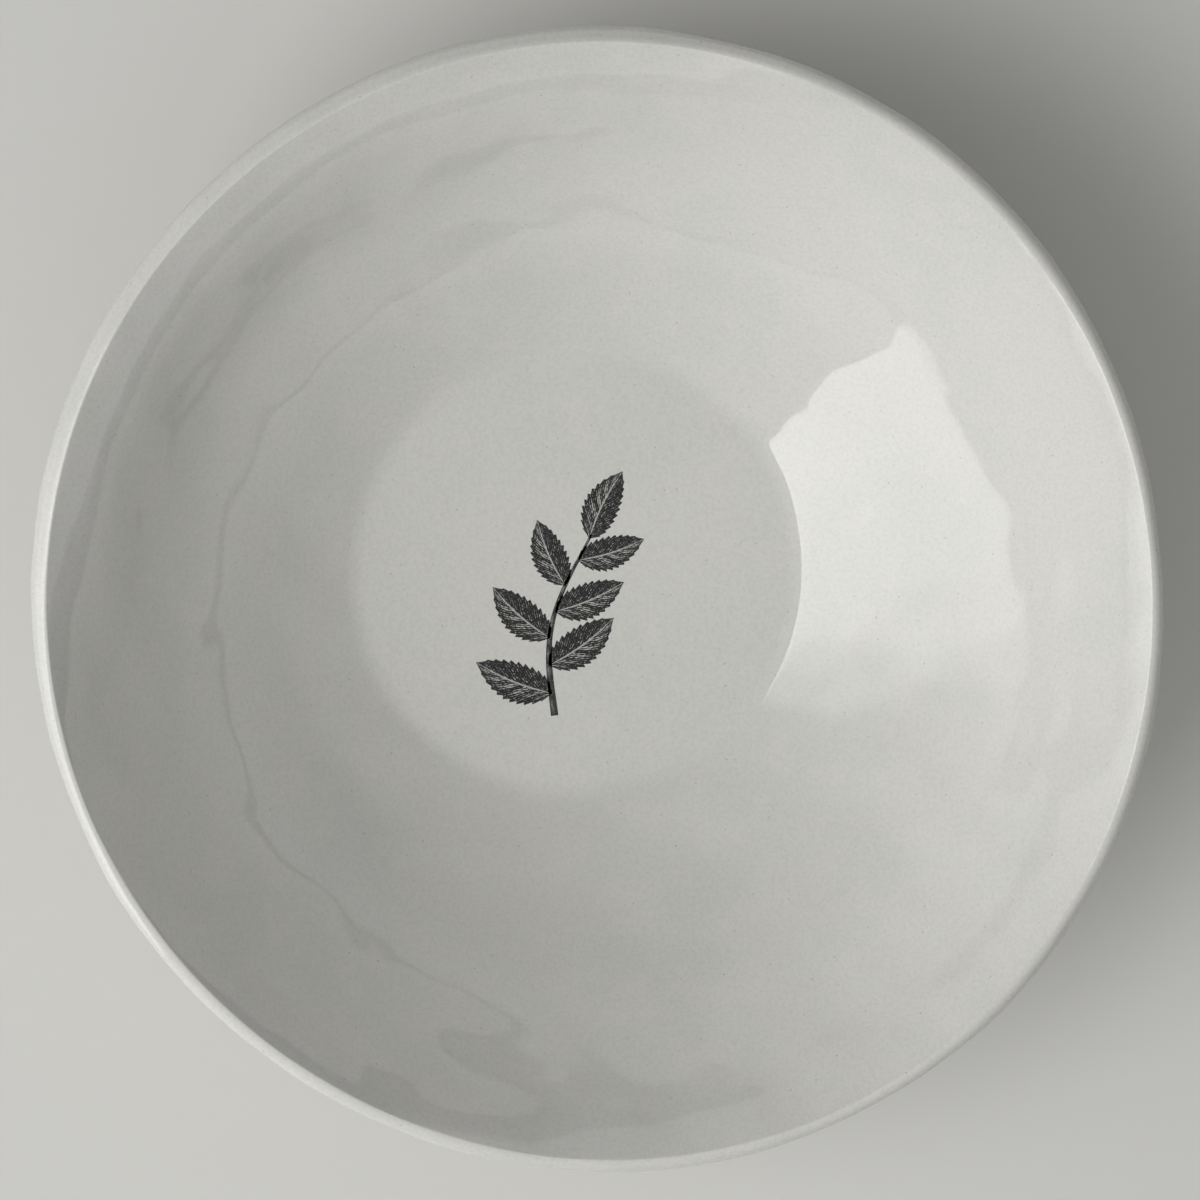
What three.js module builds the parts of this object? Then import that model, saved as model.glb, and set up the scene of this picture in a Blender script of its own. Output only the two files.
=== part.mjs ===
// A wide, shallow bowl of glazed ceramic, thrown and fired as one piece of clay: a round flat well,
// a wall that steepens as it climbs, a rounded lip, and a foot ring underneath.
// Millimetres, +Z up out of the mouth. The origin is the foot ring's centre, on the surface that it stands on.
import * as THREE from "three";

// Foot ring and floor
const FOOT_OUTER_RADIUS = 37.5;
const FOOT_WIDTH = 4.5;
const FOOT_EDGE_RADIUS = 0.9;
const FOOT_CROOK_RADIUS = 1.6; // the hollow rounding where the foot ring meets the wall
const RECESS_DEPTH = 3.8; // how far the underside stands above the surface, inside the foot ring
const RECESS_FILLET = 2.4;
const FLOOR_THICKNESS = 5.2;

// Inside of the bowl: each stretch leads outwards to a radius, and reaches the given slope there
const WELL_RADIUS = 34.2;
const WELL_EDGE = { radius: 37.6, slope: 22 };
const WALL = { radius: 70.5, slope: 45.8 };
const UPPER_WALL = { radius: 82, slope: 49.8 };
const WALL_TOP = { radius: 87.5, slope: 45 };

// The lip turns over in a tight inner corner and then a wide round, and one hands over to the other
// where the surface faces this way, in degrees, 0 outwards and 90 up
const LIP_CORNER_RADIUS = 0.5;
const LIP_HANDOVER = 97;

// Thickness of the wall, square to its surface
const WALL_AT_FOOT = 5.0;
const WALL_AT_LIP = 3.5;

// The clay warped a little in the kiln, so the lip is slightly out of round. Angles run from +X to +Y.
const RIM_RADIUS = 90;
const OVAL = { lobes: 2, height: 1.3, towards: 119.7 };
const THREE_SIDED = { lobes: 3, height: 0.4, towards: -53.7 };

const TURN_SEGMENTS = 72;
const STANDING_HEIGHT_OF_WELL = RECESS_DEPTH + FLOOR_THICKNESS;

const radians = THREE.MathUtils.degToRad;

// The point at a distance from another. Angles in the section are in degrees, 0 outwards and 90 up.
function pointFrom(start, distance, angle) {
  return new THREE.Vector2(
    start.x + distance * Math.cos(radians(angle)),
    start.y + distance * Math.sin(radians(angle)),
  );
}

// Points of a round arc about a centre, both ends included.
function arcAround(centre, radius, fromAngle, toAngle, steps) {
  return Array.from({ length: steps + 1 }, (_, i) =>
    pointFrom(centre, radius, THREE.MathUtils.lerp(fromAngle, toAngle, i / steps)),
  );
}

// Stations along a round stretch of the inside, from one station to a radius and a slope in degrees.
// On a round arc the sine of the slope changes evenly with the radius.
function roundStretch(start, end, steps) {
  const stations = [];
  const firstSine = Math.sin(radians(start.slope));
  const lastSine = Math.sin(radians(end.slope));
  const run = end.radius - start.radius;
  for (let i = 1; i <= steps; i++) {
    const sine = THREE.MathUtils.lerp(firstSine, lastSine, i / steps);
    const slope = Math.asin(sine);
    const climb =
      (run * (Math.cos(radians(start.slope)) - Math.cos(slope))) /
      (lastSine - firstSine);
    stations.push({
      radius: start.radius + (run * i) / steps,
      height: start.height + climb,
      slope: THREE.MathUtils.radToDeg(slope),
    });
  }
  return stations;
}

// The inside of the bowl, from the well's rim to where the lip begins.
function insideStations() {
  const stations = [
    { radius: WELL_RADIUS, height: STANDING_HEIGHT_OF_WELL, slope: 0 },
  ];
  const stretches = [
    [WELL_EDGE, 3],
    [WALL, 7],
    [UPPER_WALL, 2],
    [WALL_TOP, 2],
  ];
  for (const [end, steps] of stretches) {
    stations.push(...roundStretch(stations.at(-1), end, steps));
  }
  return stations;
}

// The outside of the wall, square to a station of the inside.
function outsidePoint(station) {
  const upTheWall = THREE.MathUtils.inverseLerp(
    WELL_EDGE.radius,
    WALL_TOP.radius,
    station.radius,
  );
  const thickness = THREE.MathUtils.lerp(WALL_AT_FOOT, WALL_AT_LIP, upTheWall);
  const slope = radians(station.slope);
  return new THREE.Vector2(
    station.radius + thickness * Math.sin(slope),
    station.height - thickness * Math.cos(slope),
  );
}

// The lip, from the inside of the wall's top over to the outside of the wall.
function lipPoints(inside) {
  const startAngle = 90 + WALL_TOP.slope;
  const endAngle = startAngle - 180;
  const turn = Math.cos(radians(LIP_HANDOVER - endAngle));
  const radius = (WALL_AT_LIP - LIP_CORNER_RADIUS * (1 + turn)) / (1 - turn);
  const corner = pointFrom(inside, -LIP_CORNER_RADIUS, startAngle);
  const round = pointFrom(corner, LIP_CORNER_RADIUS - radius, LIP_HANDOVER);
  return [
    ...arcAround(corner, LIP_CORNER_RADIUS, startAngle, LIP_HANDOVER, 3),
    ...arcAround(round, radius, LIP_HANDOVER, endAngle, 9).slice(1),
  ].slice(1);
}

// The foot ring and the underside, from the wall down and in to the axis.
function footPoints(wallStart) {
  const innerRadius = FOOT_OUTER_RADIUS - FOOT_WIDTH;
  const edge = FOOT_EDGE_RADIUS;
  const crook = new THREE.Vector2(
    FOOT_OUTER_RADIUS + FOOT_CROOK_RADIUS,
    wallStart.y - FOOT_CROOK_RADIUS,
  );
  const outerEdge = new THREE.Vector2(FOOT_OUTER_RADIUS - edge, edge);
  const innerEdge = new THREE.Vector2(innerRadius + edge, edge);
  const recessCorner = new THREE.Vector2(
    innerRadius - RECESS_FILLET,
    RECESS_DEPTH - RECESS_FILLET,
  );
  return [
    ...arcAround(crook, FOOT_CROOK_RADIUS, 100, 180, 3),
    ...arcAround(outerEdge, edge, 0, -90, 3),
    ...arcAround(innerEdge, edge, -90, -180, 3),
    ...arcAround(recessCorner, RECESS_FILLET, 0, 90, 3),
    new THREE.Vector2(0, RECESS_DEPTH),
  ];
}

// The whole section, from the axis under the floor, up the outside, over the lip, and back to the
// axis at the well. In that order the turned surface faces out.
function bowlProfile() {
  const stations = insideStations();
  const inside = stations.map((s) => new THREE.Vector2(s.radius, s.height));
  const wall = stations.slice(0, -1).filter((s) => s.radius >= WELL_EDGE.radius);
  const outside = wall.map(outsidePoint).reverse();
  return [
    new THREE.Vector2(0, STANDING_HEIGHT_OF_WELL),
    ...inside,
    ...lipPoints(inside.at(-1)),
    ...outside,
    ...footPoints(outside.at(-1)),
  ].reverse();
}

// Moves each point out or in by the kiln's warp, which fades to nothing at the foot ring.
function warpInTheKiln(geometry) {
  const place = geometry.getAttribute("position");
  for (let i = 0; i < place.count; i++) {
    const x = place.getX(i);
    const y = place.getY(i);
    const radius = Math.hypot(x, y);
    const angle = Math.atan2(y, x);
    const share = (radius - WELL_EDGE.radius) / (RIM_RADIUS - WELL_EDGE.radius);
    if (share <= 0) continue;
    const warp = [OVAL, THREE_SIDED].reduce(
      (sum, { lobes, height, towards }) =>
        sum + height * Math.cos(lobes * (angle - radians(towards))),
      0,
    );
    const stretched = 1 + (warp * share ** 2) / radius;
    place.setXY(i, x * stretched, y * stretched);
  }
  geometry.computeVertexNormals();
}

function makeBowl() {
  const geometry = new THREE.LatheGeometry(bowlProfile(), TURN_SEGMENTS);
  geometry.rotateX(Math.PI / 2);
  warpInTheKiln(geometry);
  const glaze = new THREE.MeshStandardMaterial({
    color: 0xd5d4cf,
    roughness: 0.08,
    metalness: 0,
  });
  const bowl = new THREE.Mesh(geometry, glaze);
  bowl.name = "bowl";
  return bowl;
}

const part = new THREE.Group();
part.add(makeBowl());

export default part;
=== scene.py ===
"""A wide, shallow ceramic bowl, glazed off-white, with a small black sprig printed in its well.

Sizes are in millimetres, as on a potter's drawing, and meshes are in metres. +Z is up out of the
mouth, +X is to the right in the photograph and +Y is up in it, and the origin is the foot ring's
centre, on the surface that the bowl stands on.
"""
import logging
import math
from dataclasses import dataclass, field
from enum import Enum

import bmesh
import bpy
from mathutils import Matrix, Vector


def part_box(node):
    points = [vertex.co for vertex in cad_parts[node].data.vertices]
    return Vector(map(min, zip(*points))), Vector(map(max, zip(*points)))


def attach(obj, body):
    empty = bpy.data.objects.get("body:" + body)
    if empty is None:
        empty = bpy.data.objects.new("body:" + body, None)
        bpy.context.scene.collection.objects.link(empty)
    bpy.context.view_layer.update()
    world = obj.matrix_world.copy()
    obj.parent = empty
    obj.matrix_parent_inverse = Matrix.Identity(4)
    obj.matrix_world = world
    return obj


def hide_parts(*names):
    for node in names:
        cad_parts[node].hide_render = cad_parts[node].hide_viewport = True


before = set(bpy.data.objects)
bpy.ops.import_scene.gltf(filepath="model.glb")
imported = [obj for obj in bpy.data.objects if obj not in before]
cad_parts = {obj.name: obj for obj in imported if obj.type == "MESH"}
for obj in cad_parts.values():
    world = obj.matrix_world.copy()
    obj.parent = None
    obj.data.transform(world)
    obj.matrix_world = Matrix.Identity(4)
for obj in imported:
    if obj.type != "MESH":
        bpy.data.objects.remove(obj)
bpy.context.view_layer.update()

MM = 0.001
WELD_MM = 0.002
ROOT_BODY = "root"

log = logging.getLogger("bowl")

Point = tuple[float, float]
Span = tuple[float, float]
Colour = tuple[float, float, float, float]


class Side(Enum):
    """The side of the stem that a leaf grows on, looking towards the sprig's tip."""

    LEFT = 1
    RIGHT = -1


def linear(hex_colour: str) -> Colour:
    """Turns an sRGB hex colour into the linear colour that a shader takes.

    Args:
        hex_colour: Six hex digits after a hash mark, such as "#e3e2dd".

    Returns:
        Red, green, blue and a full alpha.
    """
    channels = [int(hex_colour[i : i + 2], 16) / 255 for i in (1, 3, 5)]
    red, green, blue = (
        c / 12.92 if c <= 0.04045 else ((c + 0.055) / 1.055) ** 2.4 for c in channels
    )
    return red, green, blue, 1.0


def add_node(
    tree: bpy.types.NodeTree,
    kind: str,
    inputs: dict[str, object] | None = None,
    **settings: object,
) -> bpy.types.Node:
    """Adds a node to a tree, with its settings, its input values and its links.

    Args:
        tree: The node tree that the node joins.
        kind: The node's type, without the word ShaderNode before it.
        inputs: What each input gets, by the socket's identifier: a value, a socket to link, or a
            node, whose first output in use is linked.
        **settings: The node's own properties.

    Returns:
        The new node.
    """
    made = tree.nodes.new("ShaderNode" + kind)
    for name, value in settings.items():
        setattr(made, name, value)
    for identifier, value in (inputs or {}).items():
        socket = next(s for s in made.inputs if s.identifier == identifier)
        if isinstance(value, bpy.types.Node):
            value = next(s for s in value.outputs if s.enabled)
        if isinstance(value, bpy.types.NodeSocket):
            tree.links.new(value, socket)
        else:
            socket.default_value = value
    return made


def calculate(tree: bpy.types.NodeTree, operation: str, *values: object) -> bpy.types.Node:
    """Adds a node that calculates with numbers.

    Args:
        tree: The node tree that the node joins.
        operation: What it does, such as "MULTIPLY_ADD".
        *values: Its inputs in order, each a number, a socket or a node.

    Returns:
        The node that gives the result.
    """
    inputs = dict(zip(("Value", "Value_001", "Value_002"), values))
    return add_node(tree, "Math", inputs, operation=operation)


def remap(
    tree: bpy.types.NodeTree,
    value: object,
    old: Span,
    new: Span = (0.0, 1.0),
    **settings: object,
) -> bpy.types.Node:
    """Adds a node that turns one range of numbers into another, and keeps to its ends.

    Args:
        tree: The node tree that the node joins.
        value: The socket or node that gives the number.
        old: Where the old range starts and ends.
        new: What its start and end become.
        **settings: The node's own properties.

    Returns:
        The node that gives the result.
    """
    inputs = {
        "Value": value,
        "From Min": old[0],
        "From Max": old[1],
        "To Min": new[0],
        "To Max": new[1],
    }
    return add_node(tree, "MapRange", inputs, **settings)


def mix_colours(
    tree: bpy.types.NodeTree, share: object, first: object, second: object
) -> bpy.types.Node:
    """Adds a node that mixes two colours.

    Args:
        tree: The node tree that the node joins.
        share: The node that gives the second colour's share.
        first: The first colour, or the node that gives it.
        second: The second colour, or the node that gives it.

    Returns:
        The node that gives the mixed colour.
    """
    inputs = {"Factor_Float": share, "A_Color": first, "B_Color": second}
    return add_node(tree, "Mix", inputs, data_type="RGBA")


def noise(
    tree: bpy.types.NodeTree, place: bpy.types.Node, size: float, detail: float
) -> bpy.types.Node:
    """Adds a soft noise pattern.

    Args:
        tree: The node tree that the node joins.
        place: The node that gives the place.
        size: The size of its patches, in the place's unit.
        detail: How many finer layers lie over them.

    Returns:
        The node that gives the pattern.
    """
    return add_node(tree, "TexNoise", {"Vector": place, "Scale": 1 / size, "Detail": detail})


def facing(
    tree: bpy.types.NodeTree,
    direction: bpy.types.NodeSocket,
    towards: tuple[float, float, float],
) -> bpy.types.NodeSocket:
    """Measures how far a direction faces another.

    Args:
        tree: The node tree that the node joins.
        direction: The socket that gives the direction.
        towards: The other direction.

    Returns:
        The socket that gives the cosine of the angle between them.
    """
    inputs = {"Vector": direction, "Vector_001": towards}
    return add_node(tree, "VectorMath", inputs, operation="DOT_PRODUCT").outputs["Value"]


def new_material(name: str) -> tuple[bpy.types.Material, bpy.types.NodeTree]:
    """Makes an empty material.

    Args:
        name: What the material is.

    Returns:
        The material and its node tree.
    """
    material = bpy.data.materials.new(name)
    material.use_nodes = True
    material.node_tree.nodes.clear()
    return material, material.node_tree


def deselect_all() -> None:
    """Leaves object mode and deselects every object."""
    if bpy.context.mode != "OBJECT":
        bpy.ops.object.mode_set(mode="OBJECT")
    bpy.ops.object.select_all(action="DESELECT")


def select_only(piece: bpy.types.Object) -> None:
    """Makes a piece the only selected object, and the active one.

    Args:
        piece: The object to work on.
    """
    deselect_all()
    piece.select_set(True)
    bpy.context.view_layer.objects.active = piece


def apply_modifier(piece: bpy.types.Object, kind: str, **settings: object) -> None:
    """Adds a modifier to a piece and applies it.

    Args:
        piece: The object that gets it.
        kind: The modifier's type.
        **settings: The modifier's properties.
    """
    select_only(piece)
    modifier = piece.modifiers.new(kind.title(), kind)
    for name, value in settings.items():
        setattr(modifier, name, value)
    bpy.ops.object.modifier_apply(modifier=modifier.name)


def point_from(start: Point, distance: float, angle: float) -> Point:
    """Finds the point at a distance from another.

    Args:
        start: The other point.
        distance: How far it is.
        angle: The way to it in degrees, 0 outwards and 90 up.

    Returns:
        The point.
    """
    turn = math.radians(angle)
    return start[0] + distance * math.cos(turn), start[1] + distance * math.sin(turn)


def arc_around(centre: Point, radius: float, start: float, end: float, steps: int) -> list[Point]:
    """Works out points of a round arc, both ends included.

    Args:
        centre: The arc's centre.
        radius: The arc's radius.
        start: The first point's angle in degrees, 0 outwards and 90 up.
        end: The last point's angle.
        steps: How many steps lie between them.

    Returns:
        The points in order.
    """
    angles = [start + (end - start) * i / steps for i in range(steps + 1)]
    return [point_from(centre, radius, angle) for angle in angles]


def smooth_step(value: float, low: float, high: float) -> float:
    """Rises smoothly from 0 at low to 1 at high.

    Args:
        value: Where it is read.
        low: Where it leaves 0.
        high: Where it reaches 1.

    Returns:
        The share reached.
    """
    share = min(max((value - low) / (high - low), 0.0), 1.0)
    return share * share * (3 - 2 * share)


@dataclass(frozen=True)
class GlazedEarthenware:
    """A clear, faintly grey glass over white earthenware, dipped and fired.

    The glass gives sharp reflections that wander a little, over a soft, slightly mottled body with
    a few pinholes. The foot ring's ground is wiped clean before firing, so it is bare clay.
    """

    body: str = "#d9d8d3"
    cool_patch: str = "#d5d6d0"
    warm_patch: str = "#dbd8d3"
    speck: str = "#a8a69f"
    bare_clay: str = "#cfc4b2"
    patch_mm: float = 26.0
    patch_range: Span = (0.48, 0.66)
    cloud_mm: float = 7.0
    cloud_range: Span = (0.5, 0.72)
    grain_mm: float = 0.55
    grain_range: Span = (0.4, 0.7)
    grain_share: float = 0.17
    speck_cell_mm: float = 1.7
    speck_radius_mm: float = 0.2
    speck_core: float = 0.3
    specks_in_cells: float = 0.6
    ripple_mm: float = 4.2
    ripple_height_mm: float = 0.014
    peel_mm: float = 1.1
    peel_height_mm: float = 0.0004
    wiped_height_mm: float = 0.55
    wiped_wander_mm: float = 0.3
    wiped_patch_mm: float = 1.25
    wiped_edge_mm: float = 0.06
    glass_roughness: float = 0.05
    clay_roughness: float = 0.85
    glass_ior: float = 1.54

    def make(self) -> bpy.types.Material:
        """Builds the material's nodes on Object coordinates, in millimetres.

        Returns:
            The finished material.
        """
        material, tree = new_material("glazed_white_earthenware")
        place = add_node(tree, "TexCoord").outputs["Object"]
        mm = add_node(tree, "VectorMath", {"Vector": place, "Scale": 1 / MM}, operation="SCALE")
        glazed = self._glazed(tree, mm)
        colour = mix_colours(tree, glazed, linear(self.bare_clay), self._colour(tree, mm))
        rough = (self.clay_roughness, self.glass_roughness)
        shader = add_node(
            tree,
            "BsdfPrincipled",
            {
                "Base Color": colour,
                "Roughness": remap(tree, glazed, (0.0, 1.0), rough),
                "IOR": self.glass_ior,
                "Normal": self._relief(tree, mm),
            },
        )
        add_node(tree, "OutputMaterial", {"Surface": shader})
        return material

    def _glazed(self, tree: bpy.types.NodeTree, mm: bpy.types.Node) -> bpy.types.Node:
        """Finds the glaze, above the ragged line that the foot ring was wiped up to.

        Args:
            tree: The material's node tree.
            mm: The node that gives the place in millimetres.

        Returns:
            The node that gives 1 on the glaze and 0 on bare clay.
        """
        height = add_node(tree, "SeparateXYZ", {"Vector": mm}).outputs["Z"]
        ragged = noise(tree, mm, self.wiped_patch_mm, 2.0)
        lowest = self.wiped_height_mm - self.wiped_wander_mm / 2
        wiped_to = calculate(tree, "MULTIPLY_ADD", ragged, self.wiped_wander_mm, lowest)
        above = calculate(tree, "SUBTRACT", height, wiped_to)
        return remap(tree, above, (-self.wiped_edge_mm, self.wiped_edge_mm))

    def _colour(self, tree: bpy.types.NodeTree, mm: bpy.types.Node) -> bpy.types.Node:
        """Mixes cool and warm patches into the body, and puts in its grain and the pinholes.

        Args:
            tree: The material's node tree.
            mm: The node that gives the place in millimetres.

        Returns:
            The node that gives the colour.
        """
        speck = linear(self.speck)
        cool = remap(tree, noise(tree, mm, self.patch_mm, 2.0), self.patch_range)
        warm = remap(tree, noise(tree, mm, self.cloud_mm, 3.0), self.cloud_range)
        clay = noise(tree, mm, self.grain_mm, 2.0)
        grain = remap(tree, clay, self.grain_range, (0.0, self.grain_share))
        cooled = mix_colours(tree, cool, linear(self.body), linear(self.cool_patch))
        mottled = mix_colours(tree, warm, cooled, linear(self.warm_patch))
        grained = mix_colours(tree, grain, mottled, speck)
        return mix_colours(tree, self._pinholes(tree, mm), grained, speck)

    def _pinholes(self, tree: bpy.types.NodeTree, mm: bpy.types.Node) -> bpy.types.Node:
        """Puts a pinhole of its own strength into some of the cells of a pattern.

        Args:
            tree: The material's node tree.
            mm: The node that gives the place in millimetres.

        Returns:
            The node that gives how strongly a pinhole shows.
        """
        cells = add_node(tree, "TexVoronoi", {"Vector": mm, "Scale": 1 / self.speck_cell_mm})
        radius = self.speck_radius_mm / self.speck_cell_mm
        spot = remap(tree, cells.outputs["Distance"], (radius, radius * self.speck_core))
        draw = add_node(tree, "SeparateXYZ", {"Vector": cells.outputs["Color"]})
        drawn = calculate(tree, "LESS_THAN", draw.outputs["X"], self.specks_in_cells)
        strength = calculate(tree, "MULTIPLY", draw.outputs["Y"], drawn)
        return calculate(tree, "MULTIPLY", spot, strength)

    def _relief(self, tree: bpy.types.NodeTree, mm: bpy.types.Node) -> bpy.types.Node:
        """Gives the glass its low ripples and the fine peel of a dipped glaze.

        Args:
            tree: The material's node tree.
            mm: The node that gives the place in millimetres.

        Returns:
            The node that gives the normal.
        """
        rippled = add_node(
            tree,
            "Bump",
            {
                "Height": noise(tree, mm, self.ripple_mm, 1.0),
                "Strength": 1.0,
                "Distance": self.ripple_height_mm * MM,
            },
        )
        return add_node(
            tree,
            "Bump",
            {
                "Height": noise(tree, mm, self.peel_mm, 0.0),
                "Strength": 1.0,
                "Distance": self.peel_height_mm * MM,
                "Normal": rippled,
            },
        )


@dataclass(frozen=True)
class EngravedTransfer:
    """Black ceramic ink in an engraver's strokes, as a transfer fired under the same glass.

    The ink is matt in itself, but the glass over it shines as the bowl does. The strokes are 0.5 to
    0.6 mm apart, a little coarser than a real engraving's, because finer ones don't show.
    """

    name: str = "engraved_black_transfer"
    ink: str = "#161616"
    paper: str = "#b9b8b3"
    glass_roughness: float = 0.05
    glass_ior: float = 1.5
    strokes: float = 22.0
    veins: float = 6.0
    slant: float = 0.30
    shaded_half: float = 0.16
    lightness: float = 0.62
    grain: float = 30.0
    grain_strength: float = 0.9
    midrib: float = 0.05
    rib_edge: Span = (0.46, 0.54)
    margin: Span = (0.92, 0.45)
    stroke_softness: float = 0.06

    def make(self) -> bpy.types.Material:
        """Builds the material's nodes on the leaf's own UV map, whose U runs from base to tip.

        Returns:
            The finished material.
        """
        material, tree = new_material(self.name)
        uv = add_node(tree, "UVMap", uv_map="UVMap")
        light = self._light(tree, uv)
        shader = add_node(
            tree,
            "BsdfPrincipled",
            {
                "Base Color": mix_colours(tree, light, linear(self.ink), linear(self.paper)),
                "Roughness": self.glass_roughness,
                "IOR": self.glass_ior,
            },
        )
        add_node(tree, "OutputMaterial", {"Surface": shader})
        return material

    def _light(self, tree: bpy.types.NodeTree, uv: bpy.types.Node) -> bpy.types.Node:
        """Works out where the paper shows between the strokes.

        Args:
            tree: The material's node tree.
            uv: The node that gives the UV map, whose V is a half on the midrib.

        Returns:
            The node that gives 1 where the paper shows and 0 where there is ink.
        """
        split = add_node(tree, "SeparateXYZ", {"Vector": uv})
        along, across = split.outputs["X"], split.outputs["Y"]
        grain = add_node(tree, "TexNoise", {"Vector": uv, "Scale": self.grain, "Detail": 2.0})
        offset = calculate(tree, "SUBTRACT", across, 0.5)
        from_rib = calculate(tree, "MULTIPLY", calculate(tree, "ABSOLUTE", offset), 2.0)
        slanted = calculate(tree, "MULTIPLY_ADD", from_rib, -self.slant, along)
        veins = calculate(tree, "MULTIPLY", slanted, self.veins)
        vein = calculate(tree, "PINGPONG", veins, 0.5)
        strokes = calculate(tree, "MULTIPLY_ADD", slanted, self.strokes, grain)
        stroke = calculate(tree, "PINGPONG", strokes, 0.5)
        lit_half = remap(tree, across, self.rib_edge, (self.shaded_half, self.lightness))
        lit_vein = calculate(tree, "MULTIPLY", vein, lit_half)
        tone = calculate(tree, "MULTIPLY", lit_vein, remap(tree, from_rib, self.margin))
        wander = calculate(tree, "SUBTRACT", grain, 0.5)
        grained = calculate(tree, "MULTIPLY_ADD", wander, self.grain_strength, tone)
        gap = calculate(tree, "SUBTRACT", grained, stroke)
        paper = remap(tree, gap, (0.0, self.stroke_softness))
        rib = remap(tree, from_rib, (self.midrib, self.midrib * 0.5))
        return calculate(tree, "MAXIMUM", paper, rib)


@dataclass(frozen=True)
class Station:
    """A point on the inside of the bowl: its radius, its height and the slope there in degrees."""

    radius: float
    height: float
    slope: float


@dataclass(frozen=True)
class Stretch:
    """A round stretch of the inside, which leads out to a radius and has this slope there."""

    radius: float
    slope: float
    steps: int


@dataclass(frozen=True)
class Lobes:
    """A wave of the rim round the bowl: how many lobes, how high in mm, and where one points."""

    count: int
    height: float
    towards: float


@dataclass(frozen=True)
class Undulation:
    """Soft unevenness from the potter's hands: size and height in mm, and its finer layers."""

    size: float
    height: float
    depth: int


@dataclass(frozen=True)
class Flare:
    """Where the top of the wall leans out more softly than elsewhere.

    The wall climbs a little over its own section, bends, and falls behind it towards the lip.
    Where it starts and ends are radii in mm, and round the bowl it is placed in degrees.
    """

    towards: float
    full_within: float
    none_beyond: float
    climb_starts: float
    climb_ends: float
    climb: float
    bend_starts: float
    bend_ends: float
    lip: float
    easing: float


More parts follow.
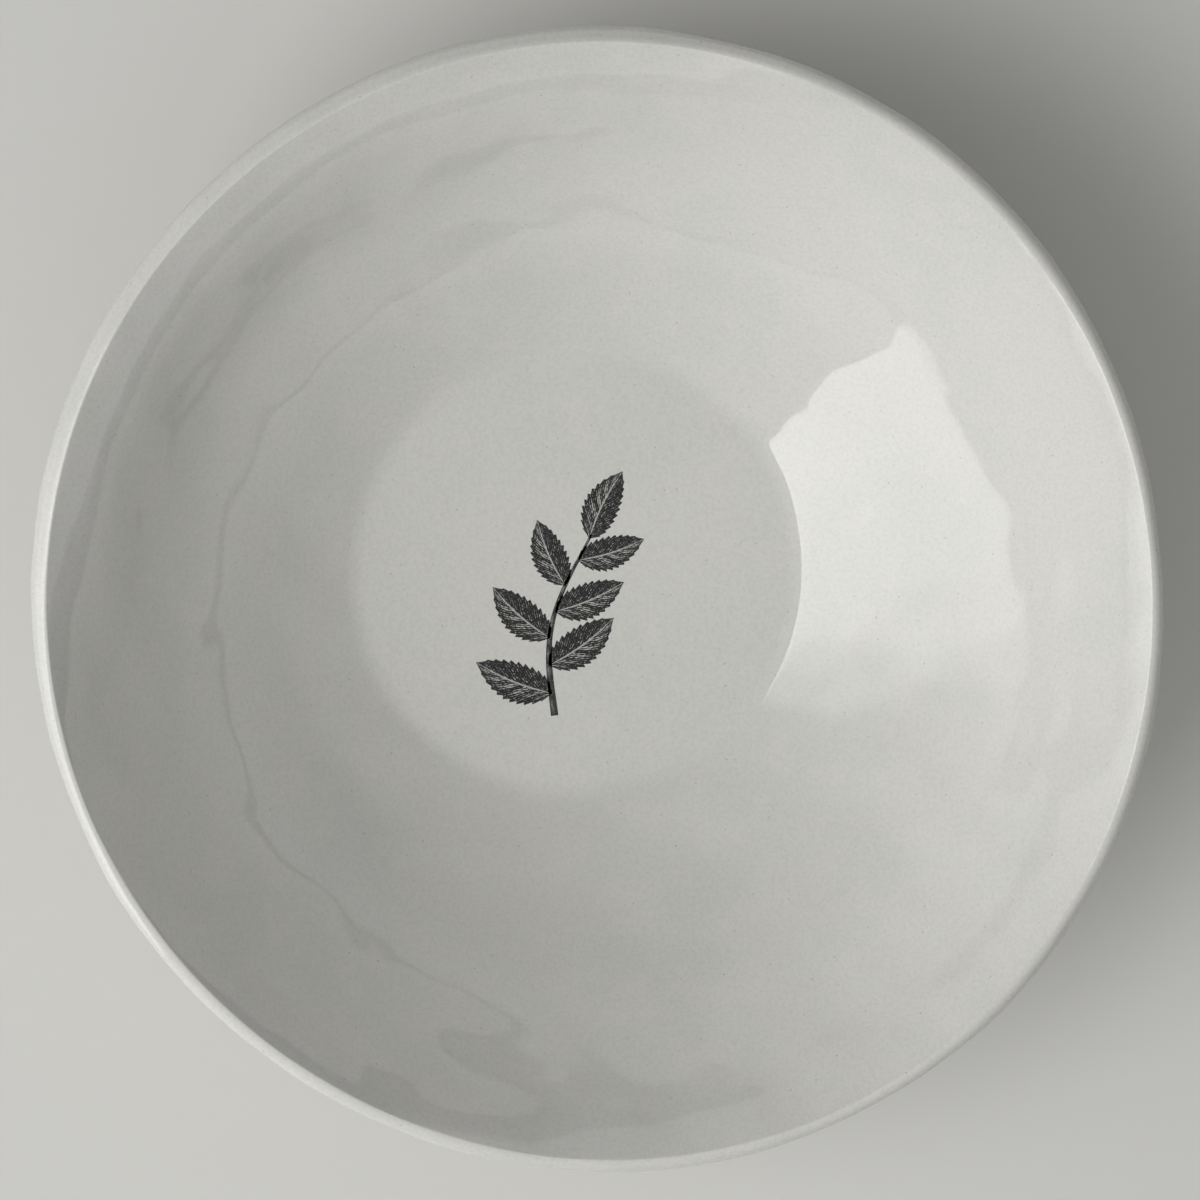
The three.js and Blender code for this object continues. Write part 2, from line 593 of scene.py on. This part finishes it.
@dataclass
class BowlBody:
    """The bowl itself: floor, wall, lip and foot ring, thrown as one piece and glazed."""

    foot_outer_radius: float = 37.5
    foot_width: float = 4.5
    foot_edge_radius: float = 0.9
    foot_crook_radius: float = 1.6
    foot_crook_start: float = 100.0
    foot_steps: int = 8
    recess_depth: float = 3.8
    recess_fillet: float = 2.4
    recess_steps: int = 10
    floor_thickness: float = 5.2
    well_radius: float = 34.2
    well_edge: Stretch = Stretch(radius=37.6, slope=22.0, steps=12)
    wall: Stretch = Stretch(radius=70.5, slope=45.8, steps=34)
    upper_wall: Stretch = Stretch(radius=82.0, slope=49.8, steps=12)
    wall_top: Stretch = Stretch(radius=87.5, slope=45.0, steps=6)
    wall_at_foot: float = 5.0
    wall_at_lip: float = 3.5
    lip_corner_radius: float = 0.5
    lip_corner_steps: int = 8
    lip_round_steps: int = 22
    lip_handover: float = 97.0
    rim_radius: float = 90.0
    floor_steps: int = 10
    turn_steps: int = 360
    lobes: tuple[Lobes, ...] = (
        Lobes(count=2, height=1.3, towards=119.7),
        Lobes(count=3, height=0.4, towards=-53.7),
    )
    undulations: tuple[Undulation, ...] = (
        Undulation(size=38.0, height=0.5, depth=1),
        Undulation(size=11.0, height=0.34, depth=0),
        Undulation(size=4.5, height=0.07, depth=0),
    )
    marks_start: float = -1.0
    marks_full: float = 9.0
    marks_margin: float = 0.5
    flare: Flare = Flare(
        towards=128.0,
        full_within=34.0,
        none_beyond=74.0,
        climb_starts=64.0,
        climb_ends=79.0,
        climb=2.1,
        bend_starts=77.5,
        bend_ends=82.5,
        lip=88.8,
        easing=0.45,
    )
    finish: GlazedEarthenware = field(default_factory=GlazedEarthenware)

    @property
    def well_height(self) -> float:
        """Adds up how far the well's floor stands above the surface under the bowl.

        Returns:
            The height in millimetres.
        """
        return self.recess_depth + self.floor_thickness

    def build(self) -> bpy.types.Object:
        """Throws, fires and glazes the bowl.

        Returns:
            The finished piece.
        """
        piece = self._throw()
        self._flare_out(piece)
        self._warp_in_kiln(piece)
        self._leave_hand_marks(piece)
        select_only(piece)
        bpy.ops.object.shade_smooth()
        piece.data.materials.append(self.finish.make())
        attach(piece, ROOT_BODY)
        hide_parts("bowl")
        return piece

    def section(self) -> list[Point]:
        """Works out the whole section, from the axis at the well to the axis under the floor.

        Returns:
            Radius and height of each point.
        """
        stations = self._inside()
        inside = [(s.radius, s.height) for s in stations]
        wall = [s for s in stations if s.radius >= self.well_edge.radius]
        outside = [self._outside_point(s) for s in reversed(wall[:-1])]
        floor = [
            (self.well_radius * i / self.floor_steps, self.well_height)
            for i in range(self.floor_steps)
        ]
        return floor + inside + self._lip(inside[-1]) + outside + self._foot(outside[-1])

    def _inside(self) -> list[Station]:
        """Follows the inside from the well's rim to where the lip begins.

        On a round arc the sine of the slope changes evenly with the radius.

        Returns:
            The stations in order.
        """
        stations = [Station(self.well_radius, self.well_height, 0.0)]
        for stretch in (self.well_edge, self.wall, self.upper_wall, self.wall_top):
            start = stations[-1]
            first, last = (math.radians(s) for s in (start.slope, stretch.slope))
            run = stretch.radius - start.radius
            gain = math.sin(last) - math.sin(first)
            for i in range(1, stretch.steps + 1):
                share = i / stretch.steps
                slope = math.asin(math.sin(first) + gain * share)
                climb = run * (math.cos(first) - math.cos(slope)) / gain
                stations.append(
                    Station(start.radius + run * share, start.height + climb, math.degrees(slope))
                )
        return stations

    def _outside_point(self, station: Station) -> Point:
        """Finds the point of the outside that lies square to a station of the inside.

        Args:
            station: A station on the wall.

        Returns:
            Radius and height of the outside point.
        """
        run = self.wall_top.radius - self.well_edge.radius
        up = (station.radius - self.well_edge.radius) / run
        thickness = self.wall_at_foot + (self.wall_at_lip - self.wall_at_foot) * up
        slope = math.radians(station.slope)
        return (
            station.radius + thickness * math.sin(slope),
            station.height - thickness * math.cos(slope),
        )

    def _lip(self, inside: Point) -> list[Point]:
        """Turns the lip over in a tight inner corner, and then in a wide round.

        Args:
            inside: The last point of the inside.

        Returns:
            The points from there to the outside of the wall.
        """
        start = 90 + self.wall_top.slope
        end = start - 180
        turn = math.cos(math.radians(self.lip_handover - end))
        radius = (self.wall_at_lip - self.lip_corner_radius * (1 + turn)) / (1 - turn)
        corner = point_from(inside, -self.lip_corner_radius, start)
        middle = point_from(corner, self.lip_corner_radius - radius, self.lip_handover)
        tight = arc_around(
            corner, self.lip_corner_radius, start, self.lip_handover, self.lip_corner_steps
        )
        wide = arc_around(middle, radius, self.lip_handover, end, self.lip_round_steps)
        return tight[1:] + wide[1:]

    def _foot(self, wall_start: Point) -> list[Point]:
        """Follows the foot ring and the underside in to the axis.

        Args:
            wall_start: The lowest point of the outside of the wall.

        Returns:
            The points from there to the axis.
        """
        edge = self.foot_edge_radius
        inner = self.foot_outer_radius - self.foot_width
        crook = (
            self.foot_outer_radius + self.foot_crook_radius,
            wall_start[1] - self.foot_crook_radius,
        )
        corner = (inner - self.recess_fillet, self.recess_depth - self.recess_fillet)
        underside = [
            (corner[0] * (1 - i / self.floor_steps), self.recess_depth)
            for i in range(1, self.floor_steps + 1)
        ]
        steps = self.foot_steps
        return [
            *arc_around(crook, self.foot_crook_radius, self.foot_crook_start, 180, steps),
            *arc_around((self.foot_outer_radius - edge, edge), edge, 0, -90, steps),
            *arc_around((inner + edge, edge), edge, -90, -180, steps),
            *arc_around(corner, self.recess_fillet, 0, 90, self.recess_steps),
            *underside,
        ]

    def _throw(self) -> bpy.types.Object:
        """Draws the section as a chain of points and turns it round the upright axis.

        Returns:
            The turned body, closed and facing out.
        """
        points = [Vector((radius * MM, 0.0, height * MM)) for radius, height in self.section()]
        deselect_all()
        bpy.ops.mesh.primitive_plane_add(size=MM, location=(0.0, 0.0, 0.0))
        piece = bpy.context.object
        piece.name = piece.data.name = "glazed_bowl"
        bpy.ops.object.mode_set(mode="EDIT")
        bpy.ops.mesh.select_all(action="SELECT")
        bpy.ops.mesh.merge(type="CENTER")
        bpy.ops.transform.translate(value=points[0])
        for here, there in zip(points, points[1:]):
            bpy.ops.mesh.extrude_region_move(TRANSFORM_OT_translate={"value": there - here})
        bpy.ops.mesh.select_all(action="SELECT")
        bpy.ops.mesh.spin(
            steps=self.turn_steps, angle=math.tau, center=(0.0, 0.0, 0.0), axis=(0.0, 0.0, 1.0)
        )
        bpy.ops.mesh.select_all(action="SELECT")
        bpy.ops.mesh.remove_doubles(threshold=WELD_MM * MM)
        bpy.ops.mesh.normals_make_consistent(inside=False)
        bpy.ops.object.mode_set(mode="OBJECT")
        return piece

    def _flare_out(self, piece: bpy.types.Object) -> None:
        """Leans the top of the wall out on one side, past the bend in it.

        Args:
            piece: The turned body.
        """
        flare = self.flare
        for vertex in piece.data.vertices:
            radius = math.hypot(vertex.co.x, vertex.co.y) / MM
            if radius < flare.climb_starts:
                continue
            angle = math.degrees(math.atan2(vertex.co.y, vertex.co.x))
            aside = abs((angle - flare.towards + 180) % 360 - 180)
            weight = 1 - smooth_step(aside, flare.full_within, flare.none_beyond)
            climb = flare.climb * smooth_step(radius, flare.climb_starts, flare.climb_ends)
            bend = flare.bend_ends - flare.bend_starts
            past = min(max(radius - flare.bend_starts, 0.0), bend)
            beyond = min(max(radius - flare.bend_ends, 0.0), flare.lip - flare.bend_ends)
            fall = flare.easing * (past * past / (2 * bend) + beyond)
            vertex.co.z += (climb - fall) * weight * MM

    def _warp_in_kiln(self, piece: bpy.types.Object) -> None:
        """Moves each point out or in as the clay warped, fading to nothing at the foot ring.

        Args:
            piece: The turned body.
        """
        for vertex in piece.data.vertices:
            radius = math.hypot(vertex.co.x, vertex.co.y) / MM
            share = (radius - self.well_edge.radius) / (self.rim_radius - self.well_edge.radius)
            if share <= 0:
                continue
            angle = math.atan2(vertex.co.y, vertex.co.x)
            warp = sum(
                lobe.height * math.cos(lobe.count * (angle - math.radians(lobe.towards)))
                for lobe in self.lobes
            )
            stretched = 1 + warp * share**2 / radius
            vertex.co.x *= stretched
            vertex.co.y *= stretched

    def _leave_hand_marks(self, piece: bpy.types.Object) -> None:
        """Gives the wall its soft unevenness, and leaves the well, foot ring and underside flat.

        Args:
            piece: The warped body.
        """
        marked = "hand_marked"
        group = piece.vertex_groups.new(name=marked)
        inner, outer = self.well_radius + self.marks_start, self.well_radius + self.marks_full
        low, high = self.recess_depth + self.marks_margin, self.well_height - self.marks_margin
        for vertex in piece.data.vertices:
            radius = math.hypot(vertex.co.x, vertex.co.y) / MM
            out = smooth_step(radius, inner, outer)
            up = smooth_step(vertex.co.z / MM, low, high)
            group.add([vertex.index], out * up, "REPLACE")
        for mark in self.undulations:
            texture = bpy.data.textures.new("hand_mark", "CLOUDS")
            texture.noise_scale = mark.size * MM
            texture.noise_depth = mark.depth
            apply_modifier(
                piece,
                "DISPLACE",
                texture=texture,
                texture_coords="LOCAL",
                strength=mark.height * MM,
                mid_level=0.5,
                vertex_group=marked,
            )
        piece.vertex_groups.clear()


@dataclass
class LeafSprig:
    """A leafy sprig in black, printed flat in the well: a bent stem with toothed leaves."""

    well_height: float
    middle: Point = (-1.8, -2.8)
    stem_length: float = 29.5
    stem_bow: float = 2.4
    stem_lean: float = 80.0
    stem_half_width: float = 0.6
    stem_taper: float = 0.66
    stem_reach: float = 1.02
    stem_steps: int = 40
    stem_rows: int = 4
    bow_turn: float = 1.25
    bow_start: float = 0.1
    bow_middle: float = 0.55
    heading_step: float = 0.01
    leaf_length: float = 13.2
    leaf_breadth: float = 7.4
    tip_leaf_share: float = 0.9
    leaf_bend: float = 0.045
    leaf_rows: int = 8
    swell_rise: float = 0.62
    swell_fall: float = 0.82
    swell_peak: float = 0.405
    narrowest_share: float = 0.03
    tip_reach: float = 1.015
    tip_half_width: float = 0.03
    shrinks_by: float = 0.16
    teeth: int = 11
    tooth_depth: float = 0.17
    tooth_point: float = 0.88
    side_leaves: int = 6
    first_leaf_at: float = 0.12
    last_leaf_at: float = 0.87
    spread_at_base: float = 60.0
    spread_at_tip: float = 45.0
    film_above: float = 0.03
    film_below: float = 0.01
    leaf_finish: EngravedTransfer = field(default_factory=EngravedTransfer)
    stem_finish: EngravedTransfer = EngravedTransfer(
        name="engraved_black_transfer_stem",
        strokes=90.0,
        veins=11.0,
        slant=0.02,
        lightness=0.5,
        midrib=0.0,
    )

    def build(self) -> bpy.types.Object:
        """Prints the sprig and lays it in the well.

        Returns:
            The finished piece.
        """
        blank = self._leaf_blank()
        leaves = self._place_leaves(blank)
        bpy.data.objects.remove(blank)
        stem = self._stem()
        select_only(stem)
        for leaf in leaves:
            leaf.select_set(True)
        bpy.ops.object.join()
        stem.name = stem.data.name = "leaf_print"
        bpy.ops.object.mode_set(mode="EDIT")
        bpy.ops.mesh.select_all(action="SELECT")
        bpy.ops.mesh.normals_make_consistent(inside=False)
        bpy.ops.object.mode_set(mode="OBJECT")
        apply_modifier(
            stem,
            "SOLIDIFY",
            thickness=(self.film_above + self.film_below) * MM,
            offset=1.0,
        )
        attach(stem, ROOT_BODY)
        return stem

    def _spine(self, share: float) -> Vector:
        """Finds a point of the stem's middle line.

        Args:
            share: The share of the stem's length, 0 at the cut end.

        Returns:
            The point, in millimetres, with the sprig's middle at the place given for it.
        """
        lean = math.radians(self.stem_lean)
        forward = Vector((math.cos(lean), math.sin(lean)))
        sideways = Vector((-forward.y, forward.x))
        wave = math.sin(math.pi * (share * self.bow_turn - self.bow_start))
        bow = self.stem_bow * (wave - self.bow_middle)
        tip_leaf = self.tip_leaf_share * self.leaf_length
        along = share * self.stem_length - (self.stem_length + tip_leaf) / 2
        return Vector(self.middle) + forward * along + sideways * bow

    def _heading(self, share: float) -> float:
        """Finds the stem's direction.

        Args:
            share: The share of the stem's length, 0 at the cut end.

        Returns:
            The direction in radians, from +X to +Y.
        """
        step = self._spine(share + self.heading_step) - self._spine(share - self.heading_step)
        return math.atan2(step.y, step.x)

    def _strip(
        self, name: str, columns: list[tuple[Vector, float, float]], rows: int
    ) -> bpy.types.Object:
        """Lays a flat strip of mesh along a line, from a grid whose columns are set one by one.

        Args:
            name: The strip's name.
            columns: For each column its middle in mm, its half width in mm and its heading.
            rows: How many faces lie across the strip.

        Returns:
            The strip, flat at the film's underside.
        """
        count = len(columns)
        deselect_all()
        bpy.ops.mesh.primitive_grid_add(
            x_subdivisions=count - 1, y_subdivisions=rows, size=2.0, location=(0.0, 0.0, 0.0)
        )
        piece = bpy.context.object
        piece.name = name
        bpy.ops.object.mode_set(mode="EDIT")
        mesh = bmesh.from_edit_mesh(piece.data)
        for vertex in mesh.verts:
            column = round((vertex.co.x + 1) / 2 * (count - 1))
            middle, half_width, heading = columns[column]
            sideways = Vector((-math.sin(heading), math.cos(heading)))
            place = (middle + sideways * half_width * vertex.co.y) * MM
            vertex.co = (place.x, place.y, (self.well_height - self.film_below) * MM)
        bmesh.update_edit_mesh(piece.data)
        bpy.ops.object.mode_set(mode="OBJECT")
        return piece

    def _leaf_blank(self) -> bpy.types.Object:
        """Models one toothed leaf along +X, with its base at the origin.

        Returns:
            The leaf, flat at the film's underside.
        """
        columns = []
        for tooth in range(self.teeth):
            for within, reach in ((0.0, 1 - self.tooth_depth), (self.tooth_point, 1.0)):
                share = (tooth + within) / self.teeth
                rise, fall = share**self.swell_rise, (1 - share) ** self.swell_fall
                swell = (rise * fall) / self.swell_peak
                half = self.leaf_breadth / 2 * max(swell * reach, self.narrowest_share)
                bend = math.sin(math.pi * share) * self.leaf_bend * self.leaf_length
                columns.append((Vector((share * self.leaf_length, bend)), half, 0.0))
        tip = Vector((self.leaf_length * self.tip_reach, 0.0))
        columns.append((tip, self.tip_half_width, 0.0))
        leaf = self._strip("leaf", columns, self.leaf_rows)
        leaf.data.materials.append(self.leaf_finish.make())
        return leaf

    def _place_leaves(self, blank: bpy.types.Object) -> list[bpy.types.Object]:
        """Copies the leaf in turns to the left and right of the stem, with one at its tip.

        Args:
            blank: The leaf that is copied.

        Returns:
            The leaves.
        """
        leaves = []
        for i in range(self.side_leaves):
            side = Side.LEFT if i % 2 == 0 else Side.RIGHT
            share = i / (self.side_leaves - 1)
            at = self.first_leaf_at + (self.last_leaf_at - self.first_leaf_at) * share
            spread = self.spread_at_base + (self.spread_at_tip - self.spread_at_base) * share
            heading = self._heading(at) + math.radians(spread) * side.value
            size = 1.0 - self.shrinks_by * share
            leaves.append(self._leaf(blank, at, heading, size, side))
        leaves.append(self._leaf(blank, 1.0, self._heading(1.0), self.tip_leaf_share, Side.LEFT))
        return leaves

    def _leaf(
        self, blank: bpy.types.Object, at: float, heading: float, size: float, side: Side
    ) -> bpy.types.Object:
        """Copies the leaf to one place on the stem.

        Args:
            blank: The leaf that is copied.
            at: The share of the stem's length where it grows.
            heading: The way that it points, in radians.
            size: Its size against the blank's.
            side: The side of the stem, which mirrors its bend.

        Returns:
            The leaf, with its place in its mesh.
        """
        leaf = blank.copy()
        leaf.data = blank.data.copy()
        bpy.context.scene.collection.objects.link(leaf)
        base = self._spine(at) * MM
        leaf.location = (base.x, base.y, 0.0)
        leaf.rotation_euler = (0.0, 0.0, heading)
        leaf.scale = (size, size * side.value, 1.0)
        select_only(leaf)
        bpy.ops.object.transform_apply(location=True, rotation=True, scale=True)
        return leaf

    def _stem(self) -> bpy.types.Object:
        """Draws the stem, thickest at its cut end.

        Returns:
            The stem, flat at the film's underside.
        """
        columns = []
        for i in range(self.stem_steps + 1):
            share = i / self.stem_steps
            half = self.stem_half_width * (1 - self.stem_taper * share)
            columns.append((self._spine(share * self.stem_reach), half, self._heading(share)))
        stem = self._strip("stem", columns, self.stem_rows)
        stem.data.materials.append(self.stem_finish.make())
        return stem


@dataclass
class Studio:
    """A plain pale floor, a tall soft window to the left, and a pale room. Lengths are in metres.

    Heights in the room are the sines of angles above the horizon.
    """

    floor_size: float = 12.0
    floor_colour: str = "#d9d8d4"
    floor_roughness: float = 0.7
    room_colour: str = "#fbfcfc"
    ceiling_glow: float = 0.61
    ceiling_focus: float = 4.0
    ceiling_leans_towards: tuple[float, float, float] = (0.0, -0.24, 0.971)
    wall_glow: float = 0.52
    wall_fades: Span = (0.2, 0.46)
    dark_below: Span = (0.174, 0.182)
    dark_plane: tuple[float, float, float] = (-0.045, 0.05, 0.998)
    floor_glow: float = 0.45
    floor_fades: Span = (-0.02, -0.1)
    backdrop_glow: float = 0.5
    window_distance: float = 1.0
    window_start: float = -1.15
    window_end: float = 0.6
    window_bottom: float = 0.12
    window_top: float = 2.2
    window_power: float = 55.0
    sky_glow: float = 0.42
    fade_starts: float = 0.485
    fade_ends: float = 0.82
    fade_slant: float = 0.28

    def build(self) -> None:
        """Sets the room, the floor and the window's light."""
        bpy.context.scene.view_settings.view_transform = "Standard"
        self._room()
        self._floor()
        self._window()

    def _room(self) -> None:
        """Lights the scene from a pale ceiling and walls, which are dark just above the floor.

        The camera sees a plain pale backdrop in the room's place.
        """
        world = bpy.data.worlds.new("room")
        bpy.context.scene.world = world
        world.use_nodes = True
        tree = world.node_tree
        tree.nodes.clear()
        direction = add_node(tree, "TexCoord").outputs["Generated"]
        up = add_node(tree, "SeparateXYZ", {"Vector": direction}).outputs["Z"]
        towards_ceiling = facing(tree, direction, self.ceiling_leans_towards)
        share = calculate(tree, "MULTIPLY_ADD", towards_ceiling, 0.5, 0.5)
        falling = calculate(tree, "POWER", share, self.ceiling_focus)
        soft = {"interpolation_type": "SMOOTHSTEP"}
        walls = remap(tree, up, self.wall_fades, (self.wall_glow, 0.0), **soft)
        together = calculate(tree, "MULTIPLY_ADD", falling, self.ceiling_glow, walls)
        above = remap(tree, facing(tree, direction, self.dark_plane), self.dark_below, **soft)
        from_floor = remap(tree, up, self.floor_fades, (0.0, self.floor_glow))
        strength = calculate(tree, "MULTIPLY_ADD", together, above, from_floor)
        shown = add_node(
            tree,
            "Mix",
            {
                "Factor_Float": add_node(tree, "LightPath").outputs["Is Camera Ray"],
                "A_Float": strength,
                "B_Float": self.backdrop_glow,
            },
        )
        glow = add_node(
            tree, "Background", {"Color": linear(self.room_colour), "Strength": shown}
        )
        add_node(tree, "OutputWorld", {"Surface": glow})

    def _floor(self) -> None:
        """Lays a plain pale floor at the foot ring's height."""
        deselect_all()
        bpy.ops.mesh.primitive_plane_add(size=self.floor_size, location=(0.0, 0.0, 0.0))
        floor = bpy.context.object
        floor.name = "studio_floor"
        material, tree = new_material("plain_pale_floor")
        shader = add_node(
            tree,
            "BsdfPrincipled",
            {"Base Color": linear(self.floor_colour), "Roughness": self.floor_roughness},
        )
        add_node(tree, "OutputMaterial", {"Surface": shader})
        floor.data.materials.append(material)

    def _window(self) -> None:
        """Hangs the window's light, brightest at the top and fading slantwise at one side."""
        light = bpy.data.lights.new("window", "AREA")
        light.shape = "RECTANGLE"
        light.size = self.window_top - self.window_bottom
        light.size_y = self.window_end - self.window_start
        light.energy = self.window_power
        light.use_nodes = True
        tree = light.node_tree
        tree.nodes.clear()
        place = add_node(
            tree, "SeparateXYZ", {"Vector": add_node(tree, "NewGeometry").outputs["Parametric"]}
        )
        up, along = place.outputs["X"], place.outputs["Y"]
        slanted = calculate(tree, "MULTIPLY_ADD", up, -self.fade_slant, along)
        fading = (self.fade_ends, self.fade_starts)
        fade = remap(tree, slanted, fading, interpolation_type="SMOOTHSTEP")
        rise = calculate(tree, "POWER", up, self.sky_glow)
        glow = add_node(tree, "Emission", {"Strength": calculate(tree, "MULTIPLY", fade, rise)})
        add_node(tree, "OutputLight", {"Surface": glow})
        window = bpy.data.objects.new("window", light)
        bpy.context.scene.collection.objects.link(window)
        window.location = (
            -self.window_distance,
            (self.window_start + self.window_end) / 2,
            (self.window_bottom + self.window_top) / 2,
        )
        window.rotation_euler = (0.0, math.radians(-90), 0.0)
        window.visible_camera = False


@dataclass
class PhotographersCamera:
    """The camera over the bowl, a little towards the photograph's upper left. Lengths are in mm."""

    rim_height: float
    distance: float = 1200.0
    tilt: float = 10.5
    leans_towards: Point = (-0.637, 0.770)
    aims_beside_centre: Point = (-0.99, 1.22)
    lens: float = 230.2
    sensor: float = 36.0

    def build(self) -> None:
        """Sets up the camera and makes it the scene's."""
        data = bpy.data.cameras.new("camera")
        data.lens = self.lens
        data.sensor_width = self.sensor
        camera = bpy.data.objects.new("camera", data)
        bpy.context.scene.collection.objects.link(camera)
        tilt = math.radians(self.tilt)
        lean = Vector((*self.leans_towards, 0.0)).normalized() * math.sin(tilt)
        centre = Vector((0.0, 0.0, self.rim_height)) * MM
        camera.location = centre + (lean + Vector((0.0, 0.0, math.cos(tilt)))) * self.distance * MM
        target = centre + Vector((*self.aims_beside_centre, 0.0)) * MM
        down = Vector((0.0, 0.0, -1.0))
        camera.rotation_mode = "QUATERNION"
        camera.rotation_quaternion = down.rotation_difference(target - camera.location)
        bpy.context.scene.camera = camera


def main() -> None:
    """Builds the bowl, its print, the studio and the camera, and reports each piece."""
    logging.basicConfig(level=logging.INFO, format="%(message)s")
    body = BowlBody()
    sprig = LeafSprig(well_height=body.well_height)
    rim_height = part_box("bowl")[1].z / MM
    for maker in (body, sprig):
        piece = maker.build()
        low, high = piece.bound_box[0], piece.bound_box[6]
        size = " x ".join(f"{(b - a) / MM:.2f}" for a, b in zip(low, high))
        log.info("%s: %d faces, %s mm", piece.name, len(piece.data.polygons), size)
    Studio().build()
    PhotographersCamera(rim_height=rim_height).build()


if __name__ == "__main__":
    main()
